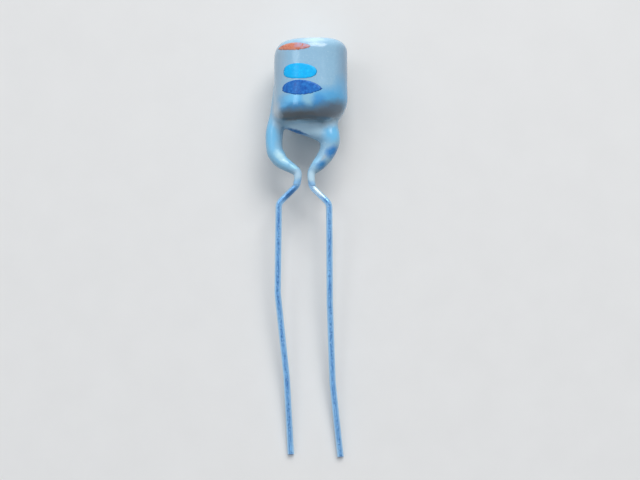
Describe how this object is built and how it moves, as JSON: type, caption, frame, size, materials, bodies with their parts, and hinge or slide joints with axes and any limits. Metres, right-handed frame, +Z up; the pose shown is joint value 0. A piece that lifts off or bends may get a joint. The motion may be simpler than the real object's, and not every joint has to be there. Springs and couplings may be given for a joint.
{
  "type": "tantalum capacitor",
  "caption": "Dipped solid tantalum capacitor: resin barrel with two short legs, two round crimped leads and a painted colour code.",
  "frame": {"origin": "on the surface that the part lies on, under the middle of the whole part", "axes": "+Y along the barrel's axis towards its closed end, the leads point to -Y, +Z up from the surface"},
  "size_m": [0.0082, 0.0422, 0.0074],
  "materials": {
    "dipped_resin": "glossy dipped epoxy, pale grey-blue with sky-blue tints",
    "sintered_tantalum": "dull dark grey sintered metal",
    "tantalum_wire": "drawn wire",
    "ptfe": "waxy white",
    "manganese_dioxide": "dull black",
    "graphite": "dull dark grey",
    "silver_paint": "matt silver paint",
    "solder": "soft satin metal",
    "tinned_wire": "satin tinned wire with fine grain",
    "orange_paint": "glossy orange-red paint",
    "light_blue_paint": "glossy light blue paint",
    "dark_blue_paint": "glossy dark blue paint"
  },
  "bodies": {
    "root": {"resin_coat": "dipped_resin", "anode_slug": "sintered_tantalum", "riser_wire": "tantalum_wire", "insulating_washer": "ptfe", "manganese_dioxide_layer": "manganese_dioxide", "graphite_layer": "graphite", "silver_layer": "silver_paint", "solder_joint": "solder", "cathode_lead": "tinned_wire", "anode_lead": "tinned_wire", "orange_mark": "orange_paint", "light_blue_mark": "light_blue_paint", "dark_blue_mark": "dark_blue_paint"}
  },
  "joints": []
}
